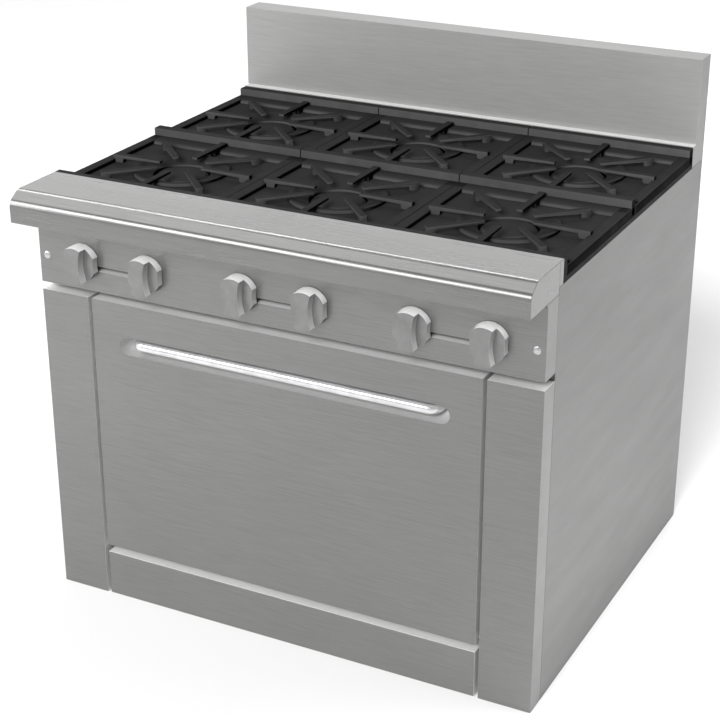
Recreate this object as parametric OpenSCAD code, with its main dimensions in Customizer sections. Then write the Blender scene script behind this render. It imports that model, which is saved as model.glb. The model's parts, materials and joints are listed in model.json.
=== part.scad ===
// Six-burner commercial gas range with one oven, millimetres, +Z up, front towards -Y.
// The origin is at the middle of the footprint, on the floor.
// Inside the modules, y = 0 is the front plane of the door, posts and control panel.

/* [Body] */
// Width over the side panels
body_w = 914.4; // [914.4]
// Depth from the front plane to the back
body_d = 745; // [735:5:760]
// Height of the side panels
side_top = 724; // [724]
// Sheet metal thickness
sheet = 1.5; // [1.2:0.1:1.8]
// Width of one front post
post_w = 92.5; // [90:0.5:95]
// Depth of the front posts
post_d = 41.5; // [40:0.5:41.5]
// Height of the front posts and of the door's top edge
post_top = 573; // [573]

/* [Ledge and backguard] */
// How far the landing ledge stands forward of the front plane
ledge_overhang = 70; // [66:1:74]
// Height of the landing ledge
ledge_top = 764.5; // [764.5]
// Underside of the landing ledge
ledge_bottom = 713; // [713]
// Height of the backguard
guard_top = 916; // [880:2:990]
// Thickness of the backguard
guard_t = 50; // [48:1:54]

/* [Cooktop] */
// Grate pitch, sideways and front to back
grate_pitch = 304.8; // [304.8]
// Width of a grate's outer frame
grate_rim = 19; // [17:0.5:21]
// Height of the grate frame's top
grate_top = 748.8; // [748.8]
// Top of the bar along the back of each grate
bar_top = 762.4; // [758:0.2:764]
// Top of the grate fingers
finger_top = 756.3; // [754:0.1:758]
// Width of a grate finger
finger_w = 12.6; // [10:0.2:14]
// Radius left open between the finger tips
finger_tip_r = 41.5; // [38:0.5:48]
// Outer radius of the grate's bowl
bowl_r = 83; // [80:0.5:86]
// Radius of the burner cap
cap_r = 46; // [42:0.5:49]

/* [Knobs] */
// Knob disc radius
knob_r = 32; // [30:0.5:33]
// Knob disc thickness
knob_disc_t = 15; // [12:0.5:18]
// How far the knob's grip stands out of the panel
knob_depth = 30; // [26:0.5:34]
// Height of the knob axes
knob_z = 637.4; // [637.4]
// Half the distance between the two knobs of a pair
knob_half_gap = 63.5; // [63.5]
// Valve stem radius
stem_r = 4; // [4]

/* [Door] */
// Half the door's width
door_half = 357.2; // [355:0.2:358]
// Height of the door's lower edge
door_bottom = 100; // [100]
// Height of the kick panel's top edge
kick_top = 86; // [80:1:88]
// Height of the handle recess's middle
recess_z = 498; // [490:1:505]
// Half the height of the handle recess
recess_r = 16; // [15:0.5:17]
// Handle rod radius
handle_r = 9; // [8:0.5:9.5]

/* [Hidden] */
$fn = 48;
half_w = body_w / 2;
front_y = -(body_d + ledge_overhang) / 2 + ledge_overhang;
side_y = 42;
back_y = body_d - 1.8;
inner_x = half_w - sheet;
flange_w = 25;
frame_y = 46.2;
frame_t = 2.4;
panel_bottom = 587;
panel_fillet = 12;
rail_y = 57.3;
cooktop_y = 72;
cooktop_end = cooktop_y + 2 * grate_pitch;
trim_y = cooktop_end + 0.4;
guard_y = body_d - guard_t;
rim_bottom = side_top + 0.3;
grate_base = 733;
bowl_floor = 742;
grate_mid = 139.7;
opening_half = grate_pitch / 2 - grate_rim;
opening_front = 22;
opening_back = 255;
pivot_y = 18;
pivot_z = 110;
hinge_r = 7;
quadrant_r = 14;
oven_half = 333.4;
oven_floor = 165;
oven_top = 515;
oven_front = 48.8;
oven_back = 606;
tray_z = 574.8;
column_x = [-grate_pitch, 0, grate_pitch];
row_y = [cooktop_y + grate_mid, cooktop_y + grate_pitch + grate_mid];
slot_half = 39;
slot_low = 624;
slot_high = 633;
spring_top = 500;
spring_low = 206;
spring_x = 379;
steel = [0.66, 0.66, 0.67];
bright = [0.86, 0.86, 0.88];
iron = [0.16, 0.16, 0.17];
enamel = [0.10, 0.10, 0.11];
dull = [0.45, 0.45, 0.47];
brass = [0.72, 0.58, 0.30];
wool = [0.80, 0.76, 0.62];

// ---- shared shapes ----

module from_front() {
    translate([0, front_y, 0]) children();
}

module both_sides() {
    children();
    mirror([1, 0, 0]) children();
}

module box(x0, x1, y0, y1, z0, z1) {
    translate([x0, y0, z0]) cube([x1 - x0, y1 - y0, z1 - z0]);
}

module slab(half_x, y0, y1, z0, z1) {
    box(-half_x, half_x, y0, y1, z0, z1);
}

module rod_x(r, x0, x1, y, z) {
    translate([x0, y, z]) rotate([0, 90, 0]) cylinder(r = r, h = x1 - x0);
}

module rod_y(r, x, y0, y1, z) {
    translate([x, y0, z]) rotate([-90, 0, 0]) cylinder(r = r, h = y1 - y0);
}

module rod_z(r, x, y, z0, z1) {
    translate([x, y, z0]) cylinder(r = r, h = z1 - z0);
}

// An outline drawn in (y, z), pulled along X to half_x on each side.
module profile_x(half_x) {
    rotate([90, 0, 90]) linear_extrude(height = 2 * half_x, center = true) children();
}

function arc(cy, cz, r, a0, a1, n) =
    [for (i = [0 : n]) let (a = a0 + (a1 - a0) * i / n) [cy + r * cos(a), cz + r * sin(a)]];

// ---- base and casing ----

module base_frame() {
    top = 40;
    wall = 2.5;
    color(dull) from_front() difference() {
        slab(inner_x - 0.3, oven_front + 0.2, back_y - 3.3, 0, top);
        slab(inner_x - 40, oven_front + 40, back_y - 43, -1, top + 1);
        slab(inner_x - 0.3 - wall, oven_front + 0.2 + wall, back_y - 3.3 - wall, wall, top - wall);
        both_sides() for (y = leg_y) box(leg_x - 44, leg_x + 44, y - 44, y + 44, -1, wall + 0.1);
    }
}
leg_x = 403;
leg_y = [101.5, 687.5];
leg_hole_pitch = 73;
leg_hole_r = 5;

module leg_plates() {
    color(dull) from_front() both_sides() for (y = leg_y) difference() {
        box(leg_x - 48, leg_x + 48, y - 48, y + 48, 2.6, 7.6);
        for (dx = [-1, 1], dy = [-1, 1])
            rod_z(leg_hole_r, leg_x + dx * leg_hole_pitch / 2, y + dy * leg_hole_pitch / 2, 0, 9);
    }
}

module base_pan() {
    color(dull) from_front() slab(inner_x - 1, oven_front + 0.4, back_y - 4, 40.1, 40.1 + sheet);
}

// Folded sheet with returns on its front, top and rear edges, and a ledge that carries the crumb tray.
module side_panel() {
    color(steel) from_front() {
        difference() {
            box(half_w - flange_w, half_w, side_y, back_y - sheet, 0, side_top);
            box(half_w - flange_w - 1, inner_x, side_y + sheet, back_y - 2 * sheet, -1, side_top - sheet);
            for (z = back_screw_z) rod_y(screw_r + 0.3, half_w - 12, back_y - 4, back_y, z);
        }
        box(half_w - 39, inner_x + 0.1, 60, 640, tray_z - 2, tray_z - 0.3);
    }
}

module side_panel_left() {
    mirror([1, 0, 0]) side_panel();
}

module side_panel_right() {
    side_panel();
}

module back_panel() {
    color(steel) from_front() difference() {
        slab(half_w - 0.2, back_y - sheet + 0.05, back_y, 2, side_top - 2);
        rod_y(inlet_hole_r, inlet_x, back_y - 4, back_y + 2, inlet_z);
        both_sides() for (z = back_screw_z)
            rod_y(screw_r + 0.3, half_w - 12, back_y - 4, back_y + 2, z);
        // louvres for the oven compartment
        for (i = [0 : 5]) slab(150, back_y - 4, back_y + 2, 90 + 14 * i, 95 + 14 * i);
    }
}
inlet_x = 405;
inlet_z = 600.5;
inlet_r = 13.335;
inlet_hole_r = 26;
back_screw_z = [60, 270, 480, 690];
screw_r = 2.4;

module front_frame() {
    color(dull) from_front() difference() {
        slab(inner_x - 0.4, frame_y, frame_y + frame_t, 42, post_top - 0.5);
        slab(oven_half, frame_y - 1, frame_y + 4, oven_floor, oven_top);
        box(185, 295, frame_y - 1, frame_y + 4, 46, 82);
    }
}

module front_post() {
    color(steel) from_front() {
        difference() {
            box(half_w - post_w, half_w, 0, post_d, 0, post_top);
            box(half_w - post_w + sheet, inner_x, sheet, post_d + 1, -1, post_top - sheet);
            rod_x(hinge_r + 0.05, half_w - post_w - 1, half_w - post_w + 3, pivot_y, pivot_z);
        }
        // the bracket that holds the top of the door spring
        box(spring_x - 12, spring_x + 12, sheet - 0.1, 30, spring_top + 0.2, spring_top + 4);
    }
}

module front_post_left() {
    mirror([1, 0, 0]) front_post();
}

module front_post_right() {
    front_post();
}

module kick_panel() {
    color(steel) from_front() difference() {
        slab(door_half, 0, post_d, 1, kick_top);
        slab(door_half - sheet, sheet, post_d + 1, -1, kick_top - sheet);
    }
}

// Front sheet that sweeps forward under the ledge, with end plates, a lower return and a lip in each slot.
module control_panel() {
    fillet_y = -panel_fillet;
    fillet_z = ledge_bottom - panel_fillet;
    corner = concat(arc(fillet_y, fillet_z, panel_fillet, 0, 90, 10), [[0.1, ledge_bottom]]);
    skin = concat(
        [[0, panel_bottom]],
        arc(fillet_y, fillet_z, panel_fillet, 0, 90, 10),
        [[-ledge_overhang + 1.8, ledge_bottom], [-ledge_overhang + 1.8, ledge_bottom + sheet]],
        arc(fillet_y, fillet_z, panel_fillet + sheet, 90, 0, 10),
        [[sheet, panel_bottom]]
    );
    color(steel) from_front() difference() {
        union() {
            profile_x(half_w - sheet - 0.3) polygon(skin);
            both_sides() {
                box(inner_x - 0.4, half_w, 0, post_d, panel_bottom, ledge_bottom - 0.3);
                translate([half_w - (sheet + 0.4) / 2, 0, 0])
                    profile_x((sheet + 0.4) / 2) intersection() {
                        polygon(corner);
                        translate([-20, 600]) square([40, ledge_bottom - 0.3 - 600]);
                    }
            }
            slab(half_w - 0.5, 0, 25, panel_bottom, panel_bottom + sheet);
            for (x = column_x) box(x - slot_half - 11, x + slot_half + 11, 1, 26, slot_low - sheet, slot_low);
        }
        for (x = column_x) {
            box(x - slot_half, x + slot_half, -1, 3, slot_low, slot_high);
            for (s = [-1, 1]) rod_y(stem_r + 2, x + s * knob_half_gap, -1, 3, knob_z);
        }
        both_sides() rod_y(screw_r + 0.3, panel_screw_x, -1, 3, panel_screw_z);
    }
}
panel_screw_x = 442.5;
panel_screw_z = 636.5;

// Domed screws: two on the control panel and eight on the back.
module screw() {
    rotate_extrude() polygon(concat([[0, 1.8]], arc(0, -10.84, 12.64, 87, 59.1, 6), [[6.5, 0], [0, 0]]));
    translate([0, 0, -8]) cylinder(r = screw_r, h = 8.2);
}

module body_screws() {
    color(bright) from_front() both_sides() {
        difference() {
            translate([panel_screw_x, 0, panel_screw_z]) rotate([90, 0, 0]) screw();
            box(panel_screw_x - 3, panel_screw_x + 3, -3, -0.9, panel_screw_z - 0.6, panel_screw_z + 0.6);
            box(panel_screw_x - 0.6, panel_screw_x + 0.6, -3, -0.9, panel_screw_z - 3, panel_screw_z + 3);
        }
        for (z = back_screw_z) translate([half_w - 12, back_y, z]) rotate([-90, 0, 0]) screw();
    }
}

// The outside of the ledge: flat top, two bends with a slope between them, and an upright front.
ledge_bend_1 = 22;
ledge_bend_2 = 16;
ledge_slope = 33;
ledge_front_low = [-ledge_overhang, ledge_bottom];

function ledge_top_side(inset) =
    let (
        r1 = ledge_bend_1 - inset,
        r2 = ledge_bend_2 - inset,
        a = ledge_slope,
        c2 = [-ledge_overhang + ledge_bend_2, 739.6],
        run = (ledge_top - ledge_bend_1 - c2[1] + (ledge_bend_1 - ledge_bend_2) * cos(a)) / sin(a),
        c1 = [
            c2[0] + run * cos(a) + (ledge_bend_1 - ledge_bend_2) * sin(a),
            ledge_top - ledge_bend_1
        ]
    )
    concat(arc(c1[0], c1[1], r1, 90, 90 + a, 5), arc(c2[0], c2[1], r2, 90 + a, 180, 7));

module landing_ledge() {
    rear = rail_y - 0.3;
    outer = concat(
        [[rear, rim_bottom], [rear, ledge_top]],
        ledge_top_side(0),
        [ledge_front_low, [side_y, ledge_bottom], [side_y, rim_bottom]]
    );
    inner = concat(
        [[rear - sheet, rim_bottom + sheet], [rear - sheet, ledge_top - sheet]],
        ledge_top_side(sheet),
        [[-ledge_overhang + sheet, 700], [side_y - sheet, 700], [side_y - sheet, rim_bottom + sheet]]
    );
    color(steel) from_front() difference() {
        profile_x(half_w) polygon(outer);
        profile_x(half_w - sheet) polygon(inner);
    }
}

// Folded riser: face, top, ends and a narrow step at its foot, open to the rear.
module backguard() {
    color(steel) from_front() difference() {
        union() {
            slab(half_w, guard_y, back_y - sheet, rim_bottom, guard_top);
            slab(half_w, trim_y, guard_y + 1, rim_bottom, ledge_top - 0.7);
        }
        slab(inner_x, guard_y + sheet, back_y, rim_bottom - 1, guard_top - sheet);
        slab(inner_x, trim_y + sheet, guard_y + 3, rim_bottom - 1, ledge_top - 0.7 - sheet);
    }
}

module backguard_rear_cover() {
    color(steel) from_front() difference() {
        slab(half_w, back_y - sheet + 0.05, back_y, side_top - 1.8, guard_top);
        // flue outlets
        for (i = [-4 : 4]) box(i * 60 - 24, i * 60 + 24, back_y - 4, back_y + 1, 840, 846);
        for (i = [-4 : 4]) box(i * 60 - 24, i * 60 + 24, back_y - 4, back_y + 1, 858, 864);
        for (i = [-4 : 4]) box(i * 60 - 24, i * 60 + 24, back_y - 4, back_y + 1, 876, 882);
    }
}

flue_half = 280;
flue_low = 470;
flue_high = 508;
module flue_duct() {
    riser_y = guard_y + 4;
    color(dull) from_front() difference() {
        union() {
            slab(flue_half, riser_y, back_y - 4, flue_low, 890);
            slab(120, oven_back + sheet + 0.2, riser_y + 1, flue_low, flue_high);
        }
        slab(flue_half - 1.2, riser_y + 1.2, back_y - 5.2, flue_low + 1.2, 891);
        slab(118.8, oven_back, riser_y + 3, flue_low + 1.2, flue_high - 1.2);
        // the riser is open behind the flue outlets
        slab(flue_half - 12, back_y - 6, back_y, 836, 886);
    }
}

// ---- cooktop ----

module burner_box() {
    skirt_x = half_w - flange_w - 2.2;
    color(enamel) from_front() {
        difference() {
            slab(half_w, rail_y, cooktop_end + 0.1, rim_bottom, grate_base - 0.1);
            slab(skirt_x, 84, row_split - 13, rim_bottom - 1, grate_base + 1);
            slab(skirt_x, row_split + 13, cooktop_end - 26, rim_bottom - 1, grate_base + 1);
        }
        // upright rail behind the landing ledge
        difference() {
            slab(half_w, rail_y, cooktop_y - 2.2, grate_base - 0.2, ledge_top);
            slab(half_w - 2, rail_y + 2, cooktop_y - 4.2, grate_base - 1, ledge_top - 2);
        }
        // skirts that keep the heat and spills in
        both_sides() box(skirt_x - 2, skirt_x, 84, cooktop_end - 26, 618, grate_base - 4);
        slab(skirt_x, cooktop_end - 26, cooktop_end - 24, 618, grate_base - 4);
        slab(skirt_x, 84, 86, 690, grate_base - 4);
    }
}
row_split = cooktop_y + grate_pitch;

// One finger along +X, drawn from the side: a bar that ends in a foot.
module finger(reach, foot_out) {
    foot = 16;
    side = [
        [finger_tip_r, finger_top],
        [reach, finger_top],
        [reach, min(grate_top - 0.5, finger_top - 7)],
        [foot_out, min(grate_top - 0.5, finger_top - 7)],
        [foot_out, bowl_floor - 0.5],
        [foot_out - foot, bowl_floor - 0.5],
        [foot_out - foot - 1.5, finger_top - 6.6],
        [finger_tip_r, finger_top - 4.8]
    ];
    rotate([90, 0, 0]) linear_extrude(height = finger_w, center = true) polygon(side);
}

module grate(column, row) {
    gap = 0.3;
    far = grate_pitch - gap;
    edge_r = 7.5;
    color(iron) from_front()
    translate([column_x[column], cooktop_y + row * grate_pitch, 0]) {
        difference() {
            slab(grate_pitch / 2 - gap, gap, far, grate_base, grate_top);
            slab(opening_half, opening_front, opening_back, grate_base - 1, grate_top + 1);
            slab(opening_half, opening_back - 1, opening_back + edge_r, grate_top - edge_r, grate_top + 1);
        }
        rod_x(edge_r, -opening_half - 1, opening_half + 1, opening_back + edge_r, grate_top - edge_r);
        // raised bar along the back
        slab(grate_pitch / 2 - gap, far - 18.7, far, grate_top - 1, bar_top);
        // bowl: a flat floor, a raised ring and a dish that opens over the burner
        difference() {
            slab(opening_half + 1, opening_front - 1, opening_back + 1, bowl_floor - 4, bowl_floor);
            rod_z(bowl_r - 3, 0, grate_mid, grate_base, grate_top);
        }
        translate([0, grate_mid, 0]) {
            rotate_extrude() polygon([
                [cap_r + 3.5, bowl_floor - 6.5],
                [cap_r + 3.5, bowl_floor - 2.5],
                [bowl_r - 6, bowl_floor + 6],
                [bowl_r, bowl_floor + 6],
                [bowl_r, bowl_floor - 4],
                [bowl_r - 5, bowl_floor - 4]
            ]);
            for (a = [0, 180]) rotate([0, 0, a]) finger(opening_half + 4.6, opening_half + 1);
            rotate([0, 0, 90]) finger(opening_back - grate_mid + 26, opening_back - grate_mid + 1);
            rotate([0, 0, -90]) finger(grate_mid - opening_front + 4.6, grate_mid - opening_front + 1);
            for (a = [45 : 90 : 315]) rotate([0, 0, a]) finger(140, 140);
        }
    }
}

module burner_head_casting(x, y) {
    translate([x, y, 0]) {
        rotate_extrude() polygon([
            [0, 698], [18, 698], [42, 712], [42, 727], [37, 727], [37, 715], [16, 704], [0, 704]
        ]);
        rod_z(16, 0, 0, knob_z, 700);
    }
}

// The mixing tube runs back from its valve, turns sideways and meets the head's riser.
module mixing_tube(x, side, y) {
    start_x = x + side * knob_half_gap;
    rod_y(12, start_x, 96, y, knob_z);
    translate([start_x, 90, knob_z]) rotate([-90, 0, 0]) cylinder(r1 = 17, r2 = 12, h = 10);
    translate([start_x, y, knob_z]) sphere(r = 12);
    rod_x(12, min(x, start_x), max(x, start_x), y, knob_z);
    translate([x, y, knob_z]) sphere(r = 16);
}

module burner_bodies_front() {
    color(iron) from_front() for (x = column_x) {
        burner_head_casting(x, row_y[0]);
        mixing_tube(x, -1, row_y[0]);
    }
}

module burner_bodies_rear() {
    color(iron) from_front() for (x = column_x) {
        burner_head_casting(x, row_y[1]);
        mixing_tube(x, 1, row_y[1]);
    }
}

module burner_caps() {
    cap = [
        [0, 727.3], [cap_r - 3, 727.3], [cap_r, 729.5], [cap_r, 733.5],
        [cap_r - 5, 738.5], [cap_r - 28, 741], [0, 741]
    ];
    color(iron) from_front() for (x = column_x, y = row_y) translate([x, y, 0]) difference() {
        rotate_extrude() polygon(cap);
        for (a = [0 : 22.5 : 170]) rotate([0, 0, a]) box(-cap_r - 2, cap_r + 2, -1.2, 1.2, 727, 731);
    }
}

// A thin tube from each column's slot to a pilot between its two burners.
module pilot_tubes() {
    color(bright) from_front() for (x = column_x) {
        rod_y(3, x + 32, 78, row_split - 12, 619);
        translate([x + 32, row_split - 12, 619]) sphere(r = 3);
        rod_z(3, x + 32, row_split - 12, 619, 716);
        rod_z(5.5, x + 32, row_split - 12, 700, 714);
    }
}

// ---- gas supply and controls ----

manifold_y = 62;
module gas_manifold() {
    color(dull) from_front() difference() {
        union() {
            rod_x(inlet_r, -400, inlet_x, manifold_y, inlet_z);
            translate([inlet_x, manifold_y, inlet_z]) sphere(r = inlet_r);
            rod_y(inlet_r, inlet_x, manifold_y, 80, inlet_z);
        }
        rod_x(10.5, -390, inlet_x, manifold_y, inlet_z);
        rod_y(10.5, inlet_x, manifold_y, 81, inlet_z);
    }
}

module gas_inlet_pipe() {
    color(dull) from_front() difference() {
        rod_y(inlet_r, inlet_x, 80.1, 678, inlet_z);
        rod_y(10.5, inlet_x, 79, 679, inlet_z);
    }
}

module pressure_regulator() {
    color(dull) from_front() difference() {
        union() {
            rod_y(inlet_r, inlet_x, 703, back_y - 0.5, inlet_z);
            box(inlet_x - 17, inlet_x + 17, 678.1, 704, inlet_z - 17, inlet_z + 17);
            rod_z(22, inlet_x, 692, inlet_z + 16, inlet_z + 30);
            rod_z(12, inlet_x, 692, inlet_z + 30, inlet_z + 52);
        }
        rod_y(10.5, inlet_x, 670, back_y + 1, inlet_z);
    }
}

function knob_x(i) = column_x[floor(i / 2)] + (i % 2 == 0 ? -1 : 1) * knob_half_gap;

module burner_valves() {
    color(brass) from_front() for (i = [0 : 5]) translate([knob_x(i), 0, 0]) difference() {
        union() {
            box(-13, 13, 30, 66, inlet_z + inlet_r + 0.1, knob_z + 14);
            rod_y(10, 0, 12, 31, knob_z);
            rod_y(7, 0, 65, 84, knob_z);
        }
        rod_y(stem_r + 0.05, 0, 11, 44, knob_z);
        rod_y(1.6, 0, 60, 85, knob_z);
    }
}

module valve_stem(i) {
    color(brass) from_front() translate([knob_x(i), 0, 0]) difference() {
        rod_y(stem_r, 0, -24, 42, knob_z);
        // flat that keys the knob
        box(-5, 5, -25, -2, knob_z + stem_r - 1.2, knob_z + stem_r + 1);
    }
}

// Disc with two waist scoops, and a grip bar across it that narrows in the middle.
module knob(i) {
    scoop_r = 90;
    grip_low = 9.8;
    waist = 28.3;
    color(bright) from_front() translate([knob_x(i), 0, knob_z]) rotate([90, 0, 0]) difference() {
        intersection() {
            union() {
                translate([0, 0, 0.8]) cylinder(r = knob_r, h = knob_disc_t - 0.8);
                translate([-15, -knob_r, knob_disc_t - 1]) cube([30, 2 * knob_r, knob_depth - knob_disc_t + 1]);
            }
            cylinder(r = knob_r, h = knob_depth + 1);
        }
        for (s = [-1, 1]) {
            translate([s * (grip_low + scoop_r), 0, knob_disc_t])
                cylinder(r = scoop_r, h = knob_depth, $fn = 96);
            translate([s * (waist + scoop_r), 0, -1]) cylinder(r = scoop_r, h = knob_depth, $fn = 96);
        }
        // keyed socket for the valve stem
        translate([0, 0, -1]) difference() {
            cylinder(r = stem_r + 0.05, h = 25.3);
            translate([-5, stem_r - 1.15, 3]) cube([10, 3, 30]);
        }
    }
}

module crumb_tray() {
    tray_x = half_w - 28;
    color(steel) from_front() {
        difference() {
            slab(tray_x, 48, 640, tray_z, tray_z + 10);
            slab(tray_x - sheet, 48 + sheet, 640 - sheet, tray_z + sheet, tray_z + 11);
        }
        // pull lip
        slab(120, 36, 48.5, tray_z + 10 - sheet, tray_z + 10);
    }
}

// ---- oven ----

module oven_liner() {
    color(dull) from_front() difference() {
        slab(oven_half + sheet, oven_front, oven_back + sheet, oven_floor - sheet, oven_top + sheet);
        slab(oven_half, oven_front - 1, oven_back, oven_floor, oven_top);
        slab(118.8, oven_back - 1, oven_back + 3, flue_low + 1.2, flue_high - 1.2);
        both_sides() box(308, 326, 120, 540, oven_floor - 3, oven_floor + 1);
    }
}

module oven_insulation() {
    inner = oven_half + sheet + 0.3;
    color(wool) from_front() difference() {
        slab(385, oven_front + 0.2, 640, 150, 566);
        slab(inner, oven_front - 1, oven_back + sheet + 0.1, 149, oven_top + sheet + 0.3);
        slab(120.3, 600, 641, flue_low - 0.3, flue_high + 0.3);
    }
}

module oven_deck() {
    color(enamel) from_front() difference() {
        slab(322, 62, 596, oven_floor + 0.1, oven_floor + 10);
        slab(322 - sheet, 62 + sheet, 596 - sheet, oven_floor - 1, oven_floor + 10 - sheet);
    }
}

rack_levels = [215, 285, 355, 425];
guide_reach = 20;
module rack_guides() {
    wall_x = oven_half - 0.2;
    color(bright) from_front() both_sides() {
        difference() {
            box(wall_x - sheet, wall_x, 80, 600, 190, 480);
            for (y = [110 : 125 : 485]) box(wall_x - 3, wall_x + 1, y, y + 85, 244, 276);
            for (y = [110 : 125 : 485]) box(wall_x - 3, wall_x + 1, y, y + 85, 384, 416);
        }
        for (z = rack_levels) {
            box(wall_x - guide_reach, wall_x - 0.5, 80, 600, z, z + sheet);
            box(wall_x - guide_reach, wall_x - 0.5, 80, 600, z + 17, z + 17 + sheet);
        }
    }
}

// A frame of round rod with wires across its top.
module oven_rack(level) {
    side_r = 3.4;
    cross_r = 3;
    wire_r = 1.8;
    reach = 317;
    z = rack_levels[level] + sheet + side_r + 0.15;
    front = 100;
    back = 596;
    wires = 22;
    pitch = 2 * reach / (wires + 1);
    color(bright) from_front() {
        both_sides() rod_y(side_r, reach, front - side_r, back + side_r, z);
        for (y = [front, (front + back) / 2, back]) rod_x(cross_r, -reach, reach, y, z);
        for (i = [1 : wires]) rod_y(wire_r, -reach + i * pitch, front - 1, back + 1, z + cross_r, $fn = 32);
    }
}

module oven_burner() {
    color(iron) from_front() difference() {
        union() {
            both_sides() {
                rod_y(16, 110, 130, 560, 108);
                translate([110, 130, 108]) sphere(r = 16);
                translate([110, 560, 108]) sphere(r = 16);
                box(104, 116, 180, 184, 41.7, 94);
                box(104, 116, 500, 504, 41.7, 94);
            }
            rod_x(16, -110, 240, 130, 108);
            translate([240, 130, 108]) sphere(r = 16);
            rod_y(16, 240, 98, 130, 108);
        }
        both_sides() for (y = [160 : 26 : 550]) rod_x(1.6, 125, 128, y, 108);
    }
}

// Valve, thermostat body and sensing bulb of the oven, reached by taking the kick panel off.
module oven_gas_control() {
    color(brass) from_front() {
        box(205, 275, 54, 84, 42, 82);
        rod_y(15, 240, 24, 55, 64);
        rod_y(7, 240, 84, 92, 74);
        rod_z(4, 215, 78, 81, 86);
    }
}

// ---- door ----

// Half an oval in (x, depth): the recess turns about this at each end.
function recess_curve(r, depth) =
    [for (i = [0 : 12]) let (a = 90 * i / 12) [r * cos(a), depth * sin(a)]];

module recess_solid(r, depth) {
    straight = 304.4 - recess_r;
    quarter = recess_curve(r, depth);
    whole = [for (i = [0 : 24]) let (a = 180 * i / 24) [depth * sin(a), recess_z + r * cos(a)]];
    profile_x(straight) polygon(whole);
    both_sides() translate([straight, 0, recess_z]) rotate([-90, 0, 0])
        rotate_extrude() polygon(concat([[0, 0]], quarter));
}

door_depth = 43;
recess_depth = 34;
module door_outer_panel() {
    color(steel) from_front() difference() {
        union() {
            difference() {
                slab(door_half, 0, door_depth, door_bottom, post_top);
                slab(door_half - sheet, sheet, door_depth + 1, door_bottom + sheet, post_top - sheet);
            }
            recess_solid(recess_r + sheet, recess_depth + sheet);
        }
        recess_solid(recess_r, recess_depth);
        slab(304.4 - recess_r, -1, 0.1, recess_z - recess_r, recess_z + recess_r);
        both_sides() rod_x(hinge_r + 0.05, door_half - 3, door_half + 1, pivot_y, pivot_z);
    }
}

module door_inner_panel() {
    inset = sheet + 0.3;
    color(dull) from_front() difference() {
        slab(door_half - inset, door_depth - 5, door_depth, door_bottom + inset, post_top - inset);
        slab(door_half - inset - sheet, door_depth - 6, door_depth - sheet,
            door_bottom + inset + sheet, post_top - inset - sheet);
    }
}

module door_insulation() {
    color(wool) from_front() difference() {
        slab(door_half - 8, sheet + 0.3, door_depth - 5.3, 142, post_top - 6);
        slab(308, 0, recess_depth + 3.3, recess_z - 19, recess_z + 19);
    }
}

module door_gasket() {
    back = frame_y - 0.3;
    color(enamel) from_front() difference() {
        slab(348, door_depth + 0.05, back, oven_floor - 14, oven_top + 14);
        slab(339, door_depth - 1, back + 1, oven_floor - 5, oven_top + 5);
    }
}

module door_handle() {
    reach = 277;
    bend = 14;
    rod_y0 = 8;
    rod_z0 = 500;
    color(bright) from_front() {
        rod_x(handle_r, -(reach - bend), reach - bend, rod_y0, rod_z0);
        both_sides() {
            translate([reach - bend, rod_y0 + bend, rod_z0])
                rotate([0, 0, -90]) rotate_extrude(angle = 90) translate([bend, 0]) circle(r = handle_r);
            rod_y(handle_r, reach, rod_y0 + bend, recess_depth - 4, rod_z0);
        }
    }
}

// Pivot shaft, the block that ties it to the door, and the quadrant that winds the spring strap.
module door_hinge_shafts() {
    color(dull) from_front() both_sides() {
        rod_x(hinge_r, 325, spring_x + 6, pivot_y, pivot_z);
        box(325, 350, 6, 37, door_bottom + 2, 136);
        rod_x(quadrant_r, spring_x - 5, spring_x + 5, pivot_y, pivot_z);
    }
}

spring_y = 14;
spring_r = 8;
wire_d = 2.4;
module door_springs() {
    coils = floor((spring_top - spring_low - 2) / wire_d);
    core = spring_r - wire_d;
    side = concat(
        [[core, spring_low + 1]],
        [for (k = [0 : coils - 1], a = [-90, -30, 30, 90])
            [spring_r - wire_d / 2 + wire_d / 2 * cos(a), spring_low + 1 + wire_d * (k + 0.5) + wire_d * 0.4 * sin(a)]],
        [[core, spring_low + 1 + coils * wire_d]]
    );
    color(bright) from_front() both_sides()
        translate([spring_x, spring_y, 0]) rotate_extrude() polygon(side);
}

// Strap that leaves the quadrant, with the hook plate at the lower end of the spring.
module spring_rods() {
    strap_y = pivot_y - quadrant_r - 0.3;
    color(dull) from_front() both_sides() {
        box(spring_x - 5, spring_x + 5, strap_y - sheet, strap_y, pivot_z, spring_low);
        box(spring_x - 8, spring_x + 8, strap_y - sheet, spring_y + 8, spring_low - 4, spring_low);
    }
}

base_frame();
leg_plates();
base_pan();
side_panel_left();
side_panel_right();
back_panel();
front_frame();
front_post_left();
front_post_right();
kick_panel();
control_panel();
body_screws();
landing_ledge();
backguard();
backguard_rear_cover();
flue_duct();
burner_box();
grate(0, 0);  // grate_front_left
grate(1, 0);  // grate_front_middle
grate(2, 0);  // grate_front_right
grate(0, 1);  // grate_rear_left
grate(1, 1);  // grate_rear_middle
grate(2, 1);  // grate_rear_right
burner_bodies_front();
burner_bodies_rear();
burner_caps();
pilot_tubes();
gas_manifold();
gas_inlet_pipe();
pressure_regulator();
burner_valves();
knob(0);  // knob_1
knob(1);  // knob_2
knob(2);  // knob_3
knob(3);  // knob_4
knob(4);  // knob_5
knob(5);  // knob_6
valve_stem(0);  // valve_stem_1
valve_stem(1);  // valve_stem_2
valve_stem(2);  // valve_stem_3
valve_stem(3);  // valve_stem_4
valve_stem(4);  // valve_stem_5
valve_stem(5);  // valve_stem_6
crumb_tray();
oven_liner();
oven_insulation();
oven_deck();
rack_guides();
oven_rack(0);  // oven_rack_lower
oven_rack(2);  // oven_rack_upper
oven_burner();
oven_gas_control();
door_outer_panel();
door_inner_panel();
door_insulation();
door_gasket();
door_handle();
door_hinge_shafts();
door_springs();
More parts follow.
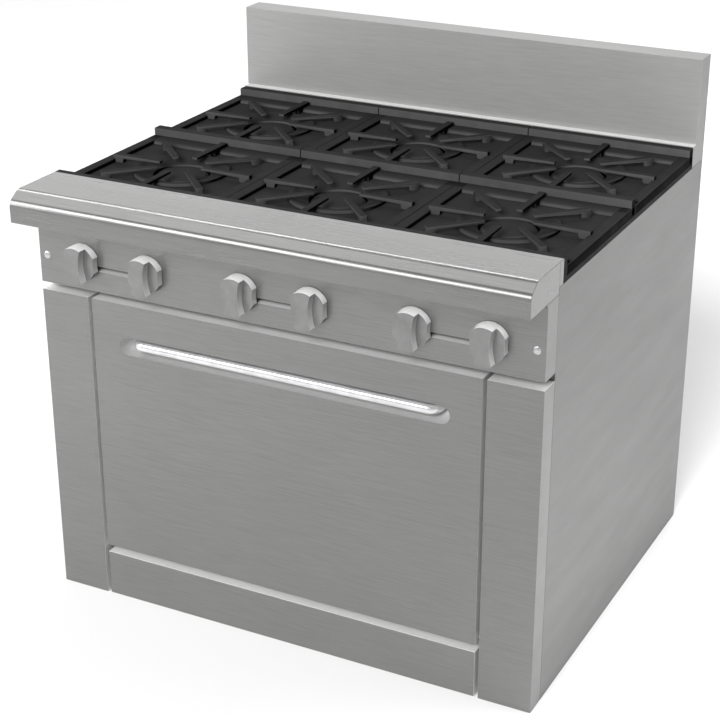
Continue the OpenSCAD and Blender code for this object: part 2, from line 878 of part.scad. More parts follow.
spring_rods();
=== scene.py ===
"""Looks of the gas range: camera, finishes, and the finer pieces that stand for the CAD nodes."""
import json
import math

import bmesh
import bpy
from mathutils import Matrix, Vector, noise


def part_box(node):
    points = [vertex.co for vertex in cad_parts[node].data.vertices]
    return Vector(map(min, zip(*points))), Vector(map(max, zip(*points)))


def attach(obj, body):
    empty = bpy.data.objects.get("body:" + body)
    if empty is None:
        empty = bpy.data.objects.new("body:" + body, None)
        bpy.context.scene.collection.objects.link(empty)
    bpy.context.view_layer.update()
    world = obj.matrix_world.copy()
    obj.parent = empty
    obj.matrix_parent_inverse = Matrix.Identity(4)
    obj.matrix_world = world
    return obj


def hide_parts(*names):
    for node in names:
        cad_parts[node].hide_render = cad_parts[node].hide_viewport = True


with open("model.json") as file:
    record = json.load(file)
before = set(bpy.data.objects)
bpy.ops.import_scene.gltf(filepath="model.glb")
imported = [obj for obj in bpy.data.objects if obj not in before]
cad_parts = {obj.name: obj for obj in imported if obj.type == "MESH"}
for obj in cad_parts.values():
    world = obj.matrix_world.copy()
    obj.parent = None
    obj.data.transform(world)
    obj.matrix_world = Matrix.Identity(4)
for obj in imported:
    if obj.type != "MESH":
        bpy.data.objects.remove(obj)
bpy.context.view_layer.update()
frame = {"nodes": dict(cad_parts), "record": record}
record = frame["record"]
body_of_node = {n: b for b, nodes in record["behaviour"]["bodies"].items() for n in nodes}
slot_of_node = {s["node"]: s["material_slot"] for s in record["subparts"]}
MM = 0.001

# ---- camera: an 87 mm lens, 27 degrees to the right of the front and 24 degrees up ----

CAMERA_PLACE = Vector((1.2912, -2.5511, 1.6678))
CAMERA_TURN = 27.287
CAMERA_DOWN = 23.936
CAMERA_ROLL = -0.088
camera = bpy.data.objects.new("camera", bpy.data.cameras.new("camera"))
camera.data.lens = 87.44
camera.data.sensor_width = 36
camera.matrix_world = (
    Matrix.Translation(CAMERA_PLACE)
    @ Matrix.Rotation(math.radians(CAMERA_TURN), 4, "Z")
    @ Matrix.Rotation(math.radians(90 - CAMERA_DOWN), 4, "X")
    @ Matrix.Rotation(math.radians(CAMERA_ROLL), 4, "Z")
)
bpy.context.scene.collection.objects.link(camera)
bpy.context.scene.camera = camera

# ---- finishes ----


class Finish:
    """A Principled material whose noises are in metres, in the object's own coordinates."""

    def __init__(self, name, **sockets):
        self.material = bpy.data.materials.new(name)
        self.material.use_nodes = True
        self.tree = self.material.node_tree
        self.shader = self.tree.nodes["Principled BSDF"]
        self.coords = self.tree.nodes.new("ShaderNodeTexCoord").outputs["Object"]
        self.height = None
        for key, value in sockets.items():
            self.shader.inputs[key.replace("_", " ")].default_value = value

    def link(self, a, b):
        self.tree.links.new(a, b)

    def noise(self, scale, detail=3.0, rough=0.5, stretch=(1, 1, 1)):
        mapping = self.tree.nodes.new("ShaderNodeMapping")
        mapping.inputs["Scale"].default_value = stretch
        self.link(self.coords, mapping.inputs["Vector"])
        node = self.tree.nodes.new("ShaderNodeTexNoise")
        node.inputs["Scale"].default_value = scale
        node.inputs["Detail"].default_value = detail
        node.inputs["Roughness"].default_value = rough
        self.link(mapping.outputs["Vector"], node.inputs["Vector"])
        return node.outputs["Fac"]

    def cells(self, scale):
        node = self.tree.nodes.new("ShaderNodeTexVoronoi")
        node.inputs["Scale"].default_value = scale
        self.link(self.coords, node.inputs["Vector"])
        return node.outputs["Color"]

    def along(self, axis):
        node = self.tree.nodes.new("ShaderNodeSeparateXYZ")
        self.link(self.coords, node.inputs["Vector"])
        return node.outputs[axis]

    def facing(self, axis):
        """How far a face looks along an axis of the object, from -1 to 1."""
        node = self.tree.nodes.new("ShaderNodeSeparateXYZ")
        coords = self.tree.nodes.new("ShaderNodeTexCoord")
        self.link(coords.outputs["Normal"], node.inputs["Vector"])
        return node.outputs[axis]

    def span(self, value, low, high, to_low=0.0, to_high=1.0):
        node = self.tree.nodes.new("ShaderNodeMapRange")
        limits = {"From Min": low, "From Max": high, "To Min": to_low, "To Max": to_high}
        for key, number in limits.items():
            node.inputs[key].default_value = number
        self.link(value, node.inputs["Value"])
        return node.outputs["Result"]

    def times(self, a, b):
        node = self.tree.nodes.new("ShaderNodeMath")
        node.operation = "MULTIPLY"
        self.link(a, node.inputs[0])
        self.link(b, node.inputs[1])
        return node.outputs["Value"]

    def mix(self, factor, a, b):
        node = self.tree.nodes.new("ShaderNodeMix")
        node.data_type = "RGBA"
        self.link(factor, node.inputs["Factor"])
        for key, value in (("A", a), ("B", b)):
            socket = [s for s in node.inputs if s.name == key and s.type == "RGBA"][0]
            if isinstance(value, (tuple, list)):
                socket.default_value = (*value, 1)
            else:
                self.link(value, socket)
        return [s for s in node.outputs if s.type == "RGBA"][0]

    def set(self, key, value):
        self.link(value, self.shader.inputs[key])

    def bump(self, value, strength, distance):
        node = self.tree.nodes.new("ShaderNodeBump")
        node.inputs["Strength"].default_value = strength
        node.inputs["Distance"].default_value = distance
        self.link(value, node.inputs["Height"])
        if self.height is not None:
            self.link(self.height, node.inputs["Normal"])
        self.height = node.outputs["Normal"]
        self.link(self.height, self.shader.inputs["Normal"])


def brushed(name, grain, dark, light, rough, metallic=0.92):
    """Sheet steel with a fine brushed grain along one axis, wiping marks, and clouding."""
    fine = {"x": (0.012, 1, 1), "y": (1, 0.012, 1), "z": (1, 1, 0.012)}[grain]
    broad = {"x": (0.15, 1, 1), "y": (1, 0.15, 1), "z": (1, 1, 0.15)}[grain]
    f = Finish(name, Metallic=metallic)
    hair = f.noise(1500, 2, 0.6, fine)
    streak = f.noise(260, 3, 0.6, fine)
    cloud = f.noise(5.5, 3, 0.55)
    wipe = f.noise(22, 4, 0.6, broad)
    tone = f.mix(f.span(hair, 0.3, 0.7), dark, light)
    tone = f.mix(f.span(streak, 0.3, 0.7, 0.0, 0.25), tone, light)
    f.set("Base Color", f.mix(f.span(cloud, 0.35, 0.7, 0.0, 0.09), tone, [c * 0.8 for c in dark]))
    marks = f.times(wipe, f.span(hair, 0.2, 0.8, 0.8, 1.2))
    f.set("Roughness", f.span(marks, 0.3, 0.75, rough - 0.03, rough + 0.05))
    f.bump(hair, 0.05, 0.0002)
    f.bump(streak, 0.035, 0.0005)
    f.bump(f.noise(3.2, 2, 0.5), 0.012, 0.003)
    return f.material


# the heights between which pans rub the cast iron: the rims of the grates' bars
RUBBED_LOW, RUBBED_HIGH = 0.7545, 0.7640


def iron(name, base, worn, rough):
    """Cast iron: sand-cast grain, grease, painted shade that darkens the tops and the faces looking
    along x, and rims rubbed by pans.
    """
    f = Finish(name)
    f.shader.inputs["Specular IOR Level"].default_value = 0.012
    grain = f.noise(1100, 4, 0.65)
    lumps = f.noise(230, 3, 0.5)
    grease = f.noise(24, 4, 0.6)
    dusty = f.noise(60, 4, 0.65)
    tone = f.mix(f.span(grease, 0.35, 0.7), base, [c * 1.3 for c in base])
    tone = f.mix(f.span(dusty, 0.55, 0.8, 0.0, 0.35), tone, (0.032, 0.029, 0.026))
    patchy = f.span(f.noise(90, 4, 0.7), 0.3, 0.7, 0.35, 1.0)
    rubbed = f.span(f.along("Z"), RUBBED_LOW, RUBBED_HIGH)
    tone = f.mix(f.times(rubbed, patchy), tone, worn)
    # painted shade: faces that look up are darkened to about half their tone
    tone = f.mix(f.span(f.facing("Z"), 0.45, 0.9), tone, [c * 0.48 for c in base])
    # painted shade: faces that look along x, either way, are darkened almost to black
    sideways = f.facing("X")
    painted_side_shade = f.span(f.times(sideways, sideways), 0.4, 0.9)
    f.set("Base Color", f.mix(painted_side_shade, tone, [c * 0.05 for c in base]))
    f.set("Roughness", f.span(grease, 0.3, 0.75, rough + 0.08, rough - 0.10))
    f.bump(lumps, 0.25, 0.0012)
    f.bump(grain, 0.32, 0.0006)
    return f.material


def plain_metal(name, base, rough, metallic=1.0, grain=900, depth=0.08):
    f = Finish(name, Metallic=metallic)
    fine = f.noise(grain, 3, 0.6)
    cloud = f.noise(30, 3, 0.6)
    f.set("Base Color", f.mix(f.span(cloud, 0.3, 0.75), base, [c * 0.78 for c in base]))
    f.set("Roughness", f.span(fine, 0.25, 0.75, rough - 0.05, rough + 0.07))
    f.bump(fine, depth, 0.0004)
    return f.material


def painted_light_rim():
    """The knobs' rims: painted light, bright on top and dark underneath, as if lit from above."""
    f = Finish("knob_aluminium_rims_painted_light", Metallic=0.3)
    fine = f.noise(2400, 3, 0.6)
    # painted light and shade: the rim runs from near black on faces looking down to near white on
    # faces looking up
    painted_light_upward = f.span(f.facing("Z"), -0.55, 0.75)
    f.set("Base Color", f.mix(painted_light_upward, (0.10, 0.10, 0.099), (0.97, 0.97, 0.965)))
    f.set("Roughness", f.span(fine, 0.25, 0.75, 0.28, 0.40))
    f.bump(fine, 0.04, 0.0004)
    return f.material


def galvanised():
    f = Finish("galvanised_steel", Metallic=1.0)
    spangle = f.cells(130)
    f.set("Base Color", f.mix(f.span(spangle, 0.1, 0.9), (0.34, 0.35, 0.37), (0.46, 0.47, 0.49)))
    f.set("Roughness", f.span(spangle, 0.0, 1.0, 0.34, 0.55))
    f.bump(f.noise(500, 3, 0.6), 0.06, 0.0005)
    return f.material


def enamel(name, base, fleck, amount, rough, coat=0.4):
    f = Finish(name, Coat_Weight=coat, Coat_Roughness=0.12)
    f.shader.inputs["Specular IOR Level"].default_value = 0.3 if coat > 0.1 else 0.08
    flecks = f.span(f.noise(700, 2, 0.5), 0.66, 0.70, 0.0, amount)
    stain = f.noise(16, 4, 0.65)
    tone = f.mix(f.span(stain, 0.45, 0.8, 0.0, 0.5), base, [c * 0.55 for c in base])
    f.set("Base Color", f.mix(flecks, tone, fleck))
    f.set("Roughness", f.span(stain, 0.3, 0.8, rough, rough + 0.22))
    f.bump(f.noise(150, 2, 0.4), 0.08, 0.0006)
    return f.material


def wool():
    f = Finish("insulation_wool", Roughness=0.95)
    fibre = f.noise(500, 5, 0.75, (0.2, 1, 1))
    f.set("Base Color", f.mix(fibre, (0.52, 0.47, 0.34), (0.86, 0.82, 0.70)))
    f.bump(fibre, 0.7, 0.002)
    return f.material


def braid():
    f = Finish("gasket_black", Roughness=0.85)
    weave = f.noise(800, 2, 0.6, (0.4, 1, 1))
    f.set("Base Color", f.mix(weave, (0.02, 0.02, 0.02), (0.10, 0.10, 0.10)))
    f.bump(weave, 0.6, 0.0008)
    return f.material


STEEL_DARK = (0.196, 0.196, 0.194)
STEEL_LIGHT = (0.254, 0.254, 0.251)
steel_x = brushed("stainless_steel", "x", STEEL_DARK, STEEL_LIGHT, 0.36)
# painted shade: the side panels' steel is set darker than the front's
steel_y_painted_shade = brushed(
    "stainless_steel_sides", "y", (0.166, 0.166, 0.164), (0.210, 0.210, 0.208), 0.40)
steel_ledge = brushed("stainless_steel_ledge", "x", STEEL_DARK, STEEL_LIGHT, 0.25)
# painted light: the backguard's steel is set lighter and less metallic than the front's
steel_guard_painted_light = brushed(
    "stainless_steel_guard", "x", (0.225, 0.225, 0.223), (0.285, 0.285, 0.282), 0.50, 0.62)
# painted light: a far lighter, less metallic copy of the steel, put on the returns in the gaps and on
# up-facing steps so that they look lit
steel_return_painted_light = brushed(
    "stainless_steel_returns", "x", (0.56, 0.56, 0.556), (0.64, 0.64, 0.635), 0.50, 0.42)
# painted light: a lighter copy of the steel for the recess behind the door handle, so that the recess
# looks lit
steel_pocket_painted_light = brushed(
    "stainless_steel_pocket", "x", (0.50, 0.50, 0.497), (0.58, 0.58, 0.577), 0.38, 0.62)
knob_side_painted_light = painted_light_rim()
MATERIAL = {
    "stainless_steel": steel_x,
    "galvanised_steel": galvanised(),
    "bright_steel": plain_metal("bright_steel", (0.62, 0.62, 0.63), 0.26),
    "spring_steel": plain_metal("spring_steel", (0.28, 0.28, 0.29), 0.36),
    "black_enamel": enamel(
        "black_enamel", (0.004, 0.004, 0.0045), (0.012, 0.012, 0.012), 0.3, 0.55, 0.02),
    "oven_enamel": enamel("oven_enamel", (0.030, 0.034, 0.046), (0.35, 0.37, 0.42), 0.8, 0.24),
    "cast_iron": iron(
        "cast_iron", (0.0310, 0.0310, 0.0314), (0.0330, 0.0330, 0.0323), 0.62),
    "tube_aluminium": plain_metal("tube_aluminium", (0.70, 0.70, 0.71), 0.32),
    "black_pipe": plain_metal("black_pipe", (0.05, 0.05, 0.055), 0.48, 0.6, 500, 0.3),
    "regulator_casting": plain_metal("regulator_casting", (0.42, 0.43, 0.45), 0.46, 0.9, 350, 0.3),
    "brass": plain_metal("brass", (0.62, 0.44, 0.18), 0.30),
    "insulation_wool": wool(),
    "gasket_black": braid(),
    "handle_chrome": plain_metal("handle_chrome", (0.74, 0.74, 0.75), 0.17, 0.86, 300, 0.01),
    "knob_aluminium": plain_metal("knob_aluminium", (0.262, 0.262, 0.26), 0.36, 0.88, 2400, 0.05),
}
OTHER_FINISH = {"side_panel_left": steel_y_painted_shade, "side_panel_right": steel_y_painted_shade, "backguard": steel_guard_painted_light}


def piece(name, mesh, node, material=None):
    """A new piece with its finish, by default that of its node's slot, on its node's body, that
    stands for a CAD node.
    """
    obj = bpy.data.objects.new(name, mesh)
    bpy.context.scene.collection.objects.link(obj)
    mesh.materials.clear()
    mesh.materials.append(material or MATERIAL[slot_of_node[node]])
    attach(obj, body_of_node[node])
    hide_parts(node)
    return obj


# ---- soft edges on the pressed, cast and turned pieces ----


def cleaned(node):
    """The node's shape with its triangles merged back into flat faces."""
    mesh = frame["nodes"][node].data.copy()
    mesh.name = node + "_shape"
    bm = bmesh.new()
    bm.from_mesh(mesh)
    bmesh.ops.remove_doubles(bm, verts=bm.verts, dist=2e-6)
    bmesh.ops.dissolve_degenerate(bm, edges=bm.edges, dist=1e-6)
    bmesh.ops.dissolve_limit(
        bm, angle_limit=math.radians(0.6), verts=bm.verts, edges=bm.edges, delimit={"NORMAL"})
    bm.to_mesh(mesh)
    bm.free()
    return mesh


# where the painted-light finishes lie, in metres
POST_MIDDLE = 0.37  # a post's inner side is nearer the middle of the range than this
POCKET_HALF_WIDTH = 0.306  # the door's recess behind its handle
POCKET_LOW, POCKET_HIGH = 0.481, 0.515
GUARD_FOOT_TOP = 0.8  # the step at the foot of the backguard is lower than this
SLOT_TOP = 0.63  # the lower lips of the sight slots are lower than this


def painted_light_finish(node, centre, normal):
    """The painted-light finish of a face that isn't brushed with the rest of its piece, or None."""
    painted_light_upward = normal.z > 0.9
    in_pocket = abs(centre.x) < POCKET_HALF_WIDTH and POCKET_LOW < centre.z < POCKET_HIGH
    if node.startswith("knob"):
        return knob_side_painted_light if abs(normal.y) < 0.5 else None
    if node.startswith("front_post"):
        inner = abs(normal.x) > 0.9 and abs(centre.x) < POST_MIDDLE
        return steel_return_painted_light if painted_light_upward or inner else None
    if node == "door_outer_panel" and in_pocket:
        return steel_pocket_painted_light if normal.y > -0.98 else None
    if node in ("door_outer_panel", "kick_panel"):
        return steel_return_painted_light if abs(normal.z) > 0.9 or abs(normal.x) > 0.9 else None
    if node == "backguard":
        return steel_return_painted_light if painted_light_upward and centre.z < GUARD_FOOT_TOP else None
    if node == "control_panel":
        return steel_return_painted_light if painted_light_upward and centre.z < SLOT_TOP else None
    return None


def bevel_modifier(obj, width, segments, angle):
    """Rounds the edges sharper than an angle in degrees, by a width in millimetres."""
    bevel = obj.modifiers.new("edges", "BEVEL")
    bevel.width = width * MM
    bevel.segments = segments
    bevel.limit_method = "ANGLE"
    bevel.angle_limit = math.radians(angle)
    bevel.use_clamp_overlap = True
    bevel.harden_normals = True


def soften(node, width, segments, material):
    """The node's own shape with soft edges and, on some faces, a painted-light finish."""
    mesh = cleaned(node)
    for name in list(mesh.attributes.keys()):
        if name in ("custom_normal", "sharp_edge", "sharp_face"):
            mesh.attributes.remove(mesh.attributes[name])
    mesh.shade_smooth()
    obj = piece(node + "_finished", mesh, node, material)
    for face in obj.data.polygons:
        finish = painted_light_finish(node, face.center, face.normal)
        if finish and finish.name not in obj.data.materials:
            obj.data.materials.append(finish)
        face.material_index = obj.data.materials.find(finish.name) if finish else 0
    bevel_modifier(obj, width, segments, 32)


# the width of each piece's soft edges, in millimetres
EDGES = {
    "side_panel_left": 0.8, "side_panel_right": 0.8, "front_post_left": 1.0,
    "front_post_right": 1.0, "kick_panel": 1.0, "door_outer_panel": 1.0, "control_panel": 0.5,
    "backguard": 1.2, "backguard_rear_cover": 0.5, "back_panel": 0.5, "front_frame": 0.5,
    "base_frame": 0.8, "leg_plates": 0.8, "crumb_tray": 0.5, "body_screws": 0.15, "burner_box": 0.5,
    "oven_liner": 0.4, "oven_deck": 0.4, "door_inner_panel": 0.6, "door_gasket": 1.0,
    "burner_caps": 0.5, "burner_valves": 0.6, "pressure_regulator": 1.0, "oven_gas_control": 1.0,
    "door_hinge_shafts": 0.5, "spring_rods": 0.3, "flue_duct": 0.4, "door_handle": 0.3,
    "oven_burner": 0.4, "gas_manifold": 0.4, "gas_inlet_pipe": 0.4, "burner_bodies_front": 0.6,
    "burner_bodies_rear": 0.6, "rack_guides": 0.3, "base_pan": 0.4, "oven_rack_lower": 0.2,
    "oven_rack_upper": 0.2, "pilot_tubes": 0.3,
}
for number in range(1, 7):
    EDGES[f"knob_{number}"] = 1.8
    EDGES[f"valve_stem_{number}"] = 0.3
INSIDE = (
    "oven_liner", "oven_deck", "burner_valves", "pressure_regulator", "oven_gas_control", "flue_duct",
    "oven_burner", "gas_manifold", "gas_inlet_pipe", "rack_guides", "base_pan", "oven_rack_lower",
    "oven_rack_upper", "base_frame",
)
for node, width in EDGES.items():
    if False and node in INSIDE:
        continue
    segments = 4 if node.startswith("knob") else 2
    soften(node, width, segments, OTHER_FINISH.get(node))

# ---- landing ledge: two folded sheets that meet in a fine seam ----


def mesh_from(name, bm):
    bmesh.ops.recalc_face_normals(bm, faces=bm.faces)
    mesh = bpy.data.meshes.new(name)
    bm.to_mesh(mesh)
    bm.free()
    mesh.shade_smooth()
    return mesh


def extrude_outline(bm, points, vector):
    """A closed outline as a face, pulled along a vector into a solid."""
    face = bm.faces.new([bm.verts.new(p) for p in points])
    pulled = bmesh.ops.extrude_face_region(bm, geom=[face])
    moved = [g for g in pulled["geom"] if isinstance(g, bmesh.types.BMVert)]
    bmesh.ops.translate(bm, verts=moved, vec=vector)


def arc(cy, cz, r, a0, a1, n):
    """Points round an arc in (y, z), from one angle to another in degrees, in n steps."""
    angles = [math.radians(a0 + (a1 - a0) * i / n) for i in range(n + 1)]
    return [(cy + r * math.cos(a), cz + r * math.sin(a)) for a in angles]


low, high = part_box("landing_ledge")
half_w = high.x
ledge_front = low.y
ledge_low = low.z
ledge_top = high.z
ledge_rear = high.y
front_y = ledge_front + 70 * MM
rear_low = 724.3 * MM
seam_y = front_y + 42 * MM
seam_half = 0.35 * MM
sheet = 1 * MM


def ledge_outline():
    """The outside of the bullnose in (y, z): two bends with a slope between them."""
    r1, r2, slope = 22 * MM, 16 * MM, 33
    rise, level = math.sin(math.radians(slope)), math.cos(math.radians(slope))
    c2 = (ledge_front + r2, 739.6 * MM)
    run = (ledge_top - r1 - c2[1] + (r1 - r2) * level) / rise
    c1 = (c2[0] + run * level + (r1 - r2) * rise, ledge_top - r1)
    return arc(*c1, r1, 90, 90 + slope, 12) + arc(*c2, r2, 90 + slope, 180, 16)


def across(bm, outline, inset=0.0):
    """Pulls an outline in (y, z) across the whole width, less an inset at each end."""
    points = [(-half_w + inset, y, z) for y, z in outline]
    extrude_outline(bm, points, Vector((2 * half_w - 2 * inset, 0, 0)))


bm = bmesh.new()
across(bm, [(seam_y - seam_half, ledge_top)] + ledge_outline() + [
    (ledge_front, ledge_low), (seam_y - seam_half, ledge_low)])
across(bm, [(seam_y + seam_half, ledge_top), (seam_y + seam_half, rear_low),
            (ledge_rear, rear_low), (ledge_rear, ledge_top)])
# a strip under the seam closes it from below
seam_floor = ledge_top - 1.2 * MM
across(bm, [(seam_y - sheet, seam_floor), (seam_y - sheet, rear_low + sheet),
            (seam_y + sheet, rear_low + sheet), (seam_y + sheet, seam_floor)], sheet)
ledge = piece(
    "landing_ledge_finished", mesh_from("landing_ledge_shape", bm), "landing_ledge", steel_ledge)
bevel_modifier(ledge, 0.7, 2, 35)

# ---- grates ----


def solid_box(bm, x0, x1, y0, y1, z0, z1, width=0):
    """A block between two corners, with edges rounded by the width."""
    place = Matrix.Translation(((x0 + x1) / 2, (y0 + y1) / 2, (z0 + z1) / 2))
    size = Matrix.Diagonal((x1 - x0, y1 - y0, z1 - z0, 1))
    made = bmesh.ops.create_cube(bm, size=1, matrix=place @ size)
    edges = list({e for v in made["verts"] for e in v.link_edges})
    if width:
        bmesh.ops.bevel(bm, geom=edges, offset=width, segments=3, profile=0.5, affect="EDGES")


def lathe(bm, outline, centre_y, steps):
    """Turns a closed (radius, height) outline round an upright axis at x = 0."""
    rings = []
    for i in range(steps):
        a = 2 * math.pi * i / steps
        points = [(r * math.cos(a), centre_y + r * math.sin(a), z) for r, z in outline]
        rings.append([bm.verts.new(p) for p in points])
    n = len(outline)
    for i in range(steps):
        for j in range(n):
            a, b = rings[i], rings[(i + 1) % steps]
            bm.faces.new((a[j], b[j], b[(j + 1) % n], a[(j + 1) % n]))


def finger(bm, angle, reach, foot_out, centre_y):
    """A pan finger, narrower underneath and at its tip, that ends in a foot."""
    tip, top, under, bowl, foot = 41.5, 756.3, 748.3, 741.5, 16
    side = [
        (tip, top - 0.6), (tip + 14, top), (reach, top), (reach, under), (foot_out, under),
        (foot_out, bowl), (foot_out - foot, bowl), (foot_out - foot - 1.5, top - 6.8),
        (tip, top - 5.2),
    ]
    wide = 6.3
    part = bmesh.new()
    extrude_outline(part, [(x, -wide, z) for x, z in side], Vector((0, 2 * wide, 0)))
    for v in part.verts:
        taper = 1 - 0.10 * max(0.0, 1 - (v.co.x - tip) / 40)
        v.co.y *= taper * (1.0 if v.co.z > top - 1 else 0.93)
    bmesh.ops.recalc_face_normals(part, faces=part.faces)
    sharp = [e for e in part.edges if e.calc_face_angle(0) > math.radians(25)]
    bmesh.ops.bevel(
        part, geom=sharp, offset=1.5, segments=3, profile=0.5, affect="EDGES", clamp_overlap=True)
    turn = Matrix.Translation((0, centre_y, 0)) @ Matrix.Rotation(math.radians(angle), 4, "Z")
    bmesh.ops.transform(part, matrix=turn, verts=part.verts)
    moved = bpy.data.meshes.new("finger")
    part.to_mesh(moved)
    part.free()
    bm.from_mesh(moved)
    bpy.data.meshes.remove(moved)


def grate_mesh():
    """One square grate, drawn in millimetres from the middle of its front edge."""
    half, near, far, base, top, bar = 152.1, 0.3, 304.5, 733.0, 748.8, 762.4
    inner, front, back, centre, edge = 133.4, 22.0, 255.0, 139.7, 7.5
    bm = bmesh.new()
    solid_box(bm, -half, -inner, near, far, base, top, 1.6)
    solid_box(bm, inner, half, near, far, base, top, 1.6)
    solid_box(bm, -half + 1, half - 1, near, front, base, top, 1.6)
    # back strip with a rounded inner edge, and the raised bar behind it
    rounded = arc(back + edge, top - edge, edge, 180, 90, 10)
    strip = [(back, base)] + rounded + [(far - 2, top), (far - 2, base)]
    extrude_outline(bm, [(-half + 1, y, z) for y, z in strip], Vector((2 * half - 2, 0, 0)))
    solid_box(bm, -half, half, far - 18.7, far, base, bar, 2.2)
    # floor round the bowl, with the raised ring and the dish down to the burner. Its pieces lie
    # 0.1 mm below one another, so that no two faces share a plane.
    floor, thick = 742.0, 4
    lathe(bm, [(80, floor), (80, floor - thick), (122, floor - thick), (122, floor)], centre, 96)
    for s in (-1, 1):
        outer, hole = s * (inner + 2), s * 84
        solid_box(bm, *sorted((outer, hole)), front - 2, back + 2, floor - thick - 0.1, floor - 0.1)
    solid_box(bm, -86, 86, front - 2, centre - 84, floor - thick - 0.2, floor - 0.2)
    solid_box(bm, -86, 86, centre + 84, back + 2, floor - thick - 0.2, floor - 0.2)
    ring = [
        (49.5, floor - 6.8), (49.1, floor - 4.9), (50.0, floor - 3.1), (77, floor + 5.9),
        (79, floor + 6.3), (81.5, floor + 6), (82.8, floor + 5), (83, floor + 3.5),
        (83, floor - thick), (78, floor - thick),
    ]
    lathe(bm, ring, centre, 120)
    finger(bm, 0, 138.0, 134.4, centre)
    finger(bm, 180, 138.0, 134.4, centre)
    finger(bm, 90, 141.3, 116.3, centre)
    finger(bm, -90, 122.3, 118.7, centre)
    for angle in (45, 135, 225, 315):
        finger(bm, angle, 140.0, 140.0, centre)
    bmesh.ops.scale(bm, vec=(MM, MM, MM), verts=bm.verts)
    mesh = mesh_from("grate_shape", bm)
    mesh.set_sharp_from_angle(angle=math.radians(40))
    return mesh


shared_grate = grate_mesh()
for node in [n for n in frame["nodes"] if n.startswith("grate_")]:
    low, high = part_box(node)
    mesh = shared_grate.copy()
    mesh.transform(Matrix.Translation(((low.x + high.x) / 2, low.y - 0.3 * MM, 0)))
    piece(node + "_cast", mesh, node)

# ---- door springs: real coils ----

UP = Vector((0, 0, 1))
bm = bmesh.new()
low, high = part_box("door_springs")
coil_r = (high.y - low.y) / 2
for s in (-1, 1):
    cx = s * (high.x - coil_r)
    cy = (low.y + high.y) / 2
    wire, turns, steps, ring = 1.15 * MM, 62, 20, 6
    previous = None
    for i in range(turns * steps + 1):
        a = 2 * math.pi * i / steps
        t = i / (turns * steps)
        out = Vector((math.cos(a), math.sin(a), 0))
        rise = low.z + wire + t * (high.z - low.z - 2 * wire)
        middle = Vector((cx, cy, rise)) + out * (coil_r - wire)
        turn = [2 * math.pi * k / ring for k in range(ring)]
        loop = [bm.verts.new(middle + wire * (math.cos(b) * out + math.sin(b) * UP)) for b in turn]
        if previous:
            for k in range(ring):
                bm.faces.new((previous[k], loop[k], loop[(k + 1) % ring], previous[(k + 1) % ring]))
        else:
            bm.faces.new(loop)
        previous = loop
    bm.faces.new(previous)
piece("door_spring_coils", mesh_from("door_spring_coils", bm), "door_springs")

# ---- insulation: lumpy mineral wool batts ----


def batt(node, voxel):
    """Remeshes a node evenly, then pushes its faces in by 1.6 mm and some noise."""
    obj = piece(node + "_batt", cleaned(node), node)
    remesh = obj.modifiers.new("remesh", "REMESH")
    remesh.mode = "VOXEL"
    remesh.voxel_size = voxel
    graph = bpy.context.evaluated_depsgraph_get()
    soft = bpy.data.meshes.new_from_object(obj.evaluated_get(graph))
    obj.modifiers.clear()
    obj.data = soft
    for v in soft.vertices:
        puff = noise.noise(v.co * 38) + 0.6 * noise.noise(v.co * 110)
        v.co -= v.normal * (0.0016 + 0.0014 * puff)
    soft.shade_smooth()
    soft.materials.clear()
    soft.materials.append(MATERIAL["insulation_wool"])


batt("oven_insulation", 0.009)
batt("door_insulation", 0.006)

# ---- floor and light: the floor is flat near the range and rises far away, to hide the horizon ----

FLOOR_HALF_SIZE = 250
FLOOR_FLAT_RADIUS = 60
FLOOR_RISE = 0.32
bm = bmesh.new()
bmesh.ops.create_grid(bm, x_segments=50, y_segments=50, size=FLOOR_HALF_SIZE)
for v in bm.verts:
    v.co.z = max(0.0, v.co.length - FLOOR_FLAT_RADIUS) * FLOOR_RISE
floor = bpy.data.objects.new("floor", mesh_from("floor", bm))
floor.location.z = -0.5 * MM
bpy.context.scene.collection.objects.link(floor)
pale = Finish("floor", Roughness=0.9)
pale.shader.inputs["Base Color"].default_value = (0.62, 0.62, 0.62, 1)
floor.data.materials.append(pale.material)


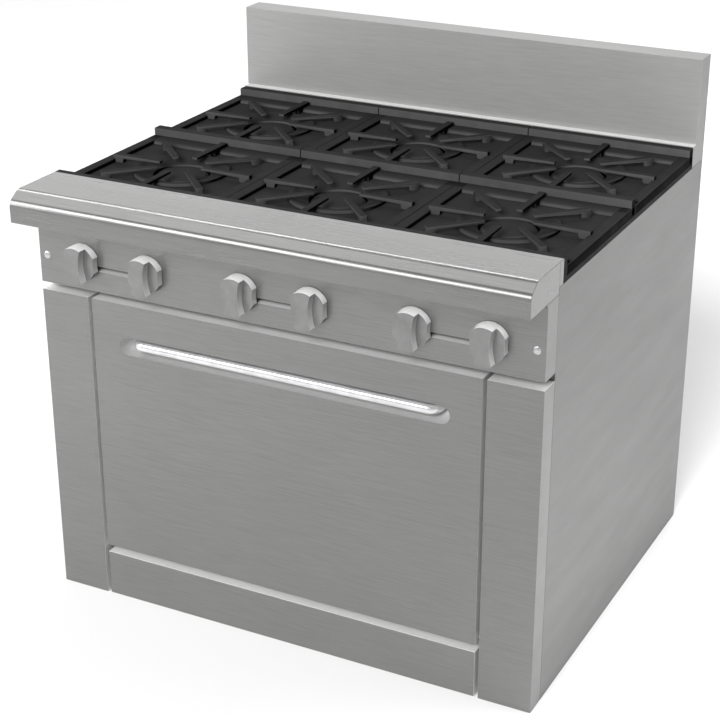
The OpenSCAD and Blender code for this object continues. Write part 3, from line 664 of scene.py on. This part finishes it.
def softbox(name, place, aim, size, power, lights="all"):
    """A soft lamp that lights everything, only makes highlights ("gloss") or makes none ("matt")."""
    light = bpy.data.lights.new(name, "AREA")
    light.shape = "RECTANGLE"
    light.size, light.size_y = size
    light.energy = power
    obj = bpy.data.objects.new(name, light)
    obj.location = place
    obj.rotation_euler = (Vector(aim) - Vector(place)).to_track_quat("-Z", "Y").to_euler()
    obj.visible_diffuse = lights != "gloss"
    obj.visible_glossy = lights != "matt"
    obj.visible_camera = False
    bpy.context.scene.collection.objects.link(obj)


softbox("light_top", (-1.8, -0.3, 3.8), (0, -0.4, 0.75), (1.4, 4.2), 29, "gloss")
softbox("light_back_high", (-1.5, 1.9, 3.4), (0, -0.3, 0.75), (3.6, 0.5), 50, "gloss")
softbox("light_back", (-1.7, 3.6, 2.4), (-0.4, 0, 0.75), (6.0, 1.2), 24, "gloss")
softbox("light_left", (-1.5, -1.3, 1.0), (-1.2, -1.3, 0.0), (0.7, 0.7), 9)
softbox("light_front", (-1.5, -2.9, 2.6), (0, -0.3, 0.6), (3.0, 1.3), 70, "gloss")
softbox("light_right", (1.4, 0.9, 3.2), (1.2, 0.7, 0.0), (1.2, 1.2), 12)
softbox("light_behind", (0.2, 2.9, 2.6), (0, 1.2, 0.2), (2.4, 1.2), 60, "matt")
softbox("light_low_right", (1.15, 0.0, 0.70), (0.75, 0.05, 0.0), (0.5, 1.1), 8, "matt")
key = bpy.data.lights.new("light_key", "SUN")
key.energy = 7.0
key.angle = math.radians(30)
key_lamp = bpy.data.objects.new("light_key", key)
key_lamp.rotation_euler = Vector((0.0, 0.87, -0.50)).to_track_quat("-Z", "Y").to_euler()
key_lamp.visible_glossy = False
bpy.context.scene.collection.objects.link(key_lamp)
world = bpy.data.worlds.new("studio")
world.use_nodes = True
world.node_tree.nodes["Background"].inputs["Color"].default_value = (1, 1, 1, 1)
world.node_tree.nodes["Background"].inputs["Strength"].default_value = 0.40
bpy.context.scene.world = world
bpy.context.scene.view_settings.view_transform = "Standard"
